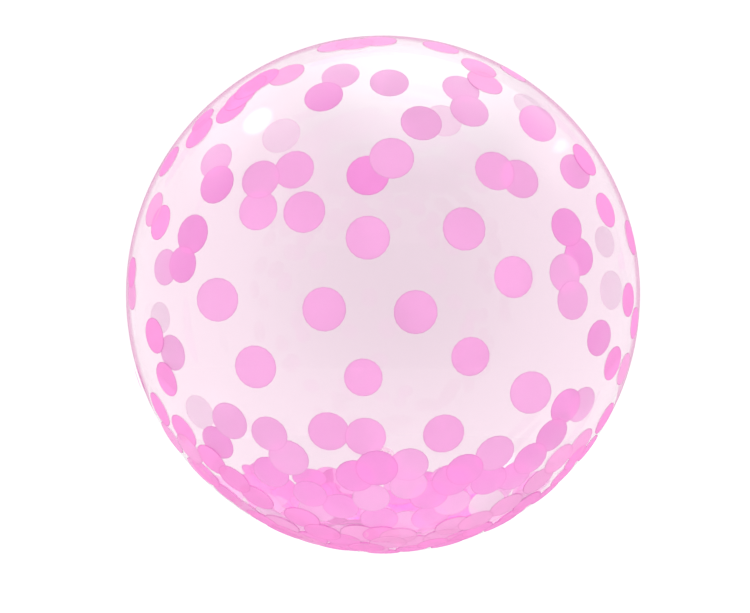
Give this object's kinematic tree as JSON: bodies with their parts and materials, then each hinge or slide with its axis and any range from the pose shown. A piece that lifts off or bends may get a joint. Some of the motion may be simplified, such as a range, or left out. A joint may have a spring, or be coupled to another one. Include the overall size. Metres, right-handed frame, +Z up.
{
  "type": "clear bubble balloon",
  "caption": "Round clear film balloon, inflated and sealed, with pink paper dots loose inside and a short gathered filling neck low at the back.",
  "frame": {"origin": "centre of the flat spot that the balloon rests on", "axes": "+Z up from the resting spot, +Y towards the back, where the filling neck is, +X to the right seen from the front"},
  "size_m": [0.46, 0.414, 0.4603],
  "materials": {
    "clear_film": "clear stretched film with a faint pink haze and a high gloss",
    "pink_paper": "matt tissue paper, pink",
    "deep_pink_paper": "matt tissue paper, deeper pink",
    "blush_paper": "matt tissue paper, very pale pink"
  },
  "bodies": {
    "root": {"balloon": "clear_film"}
  },
  "joints": []
}
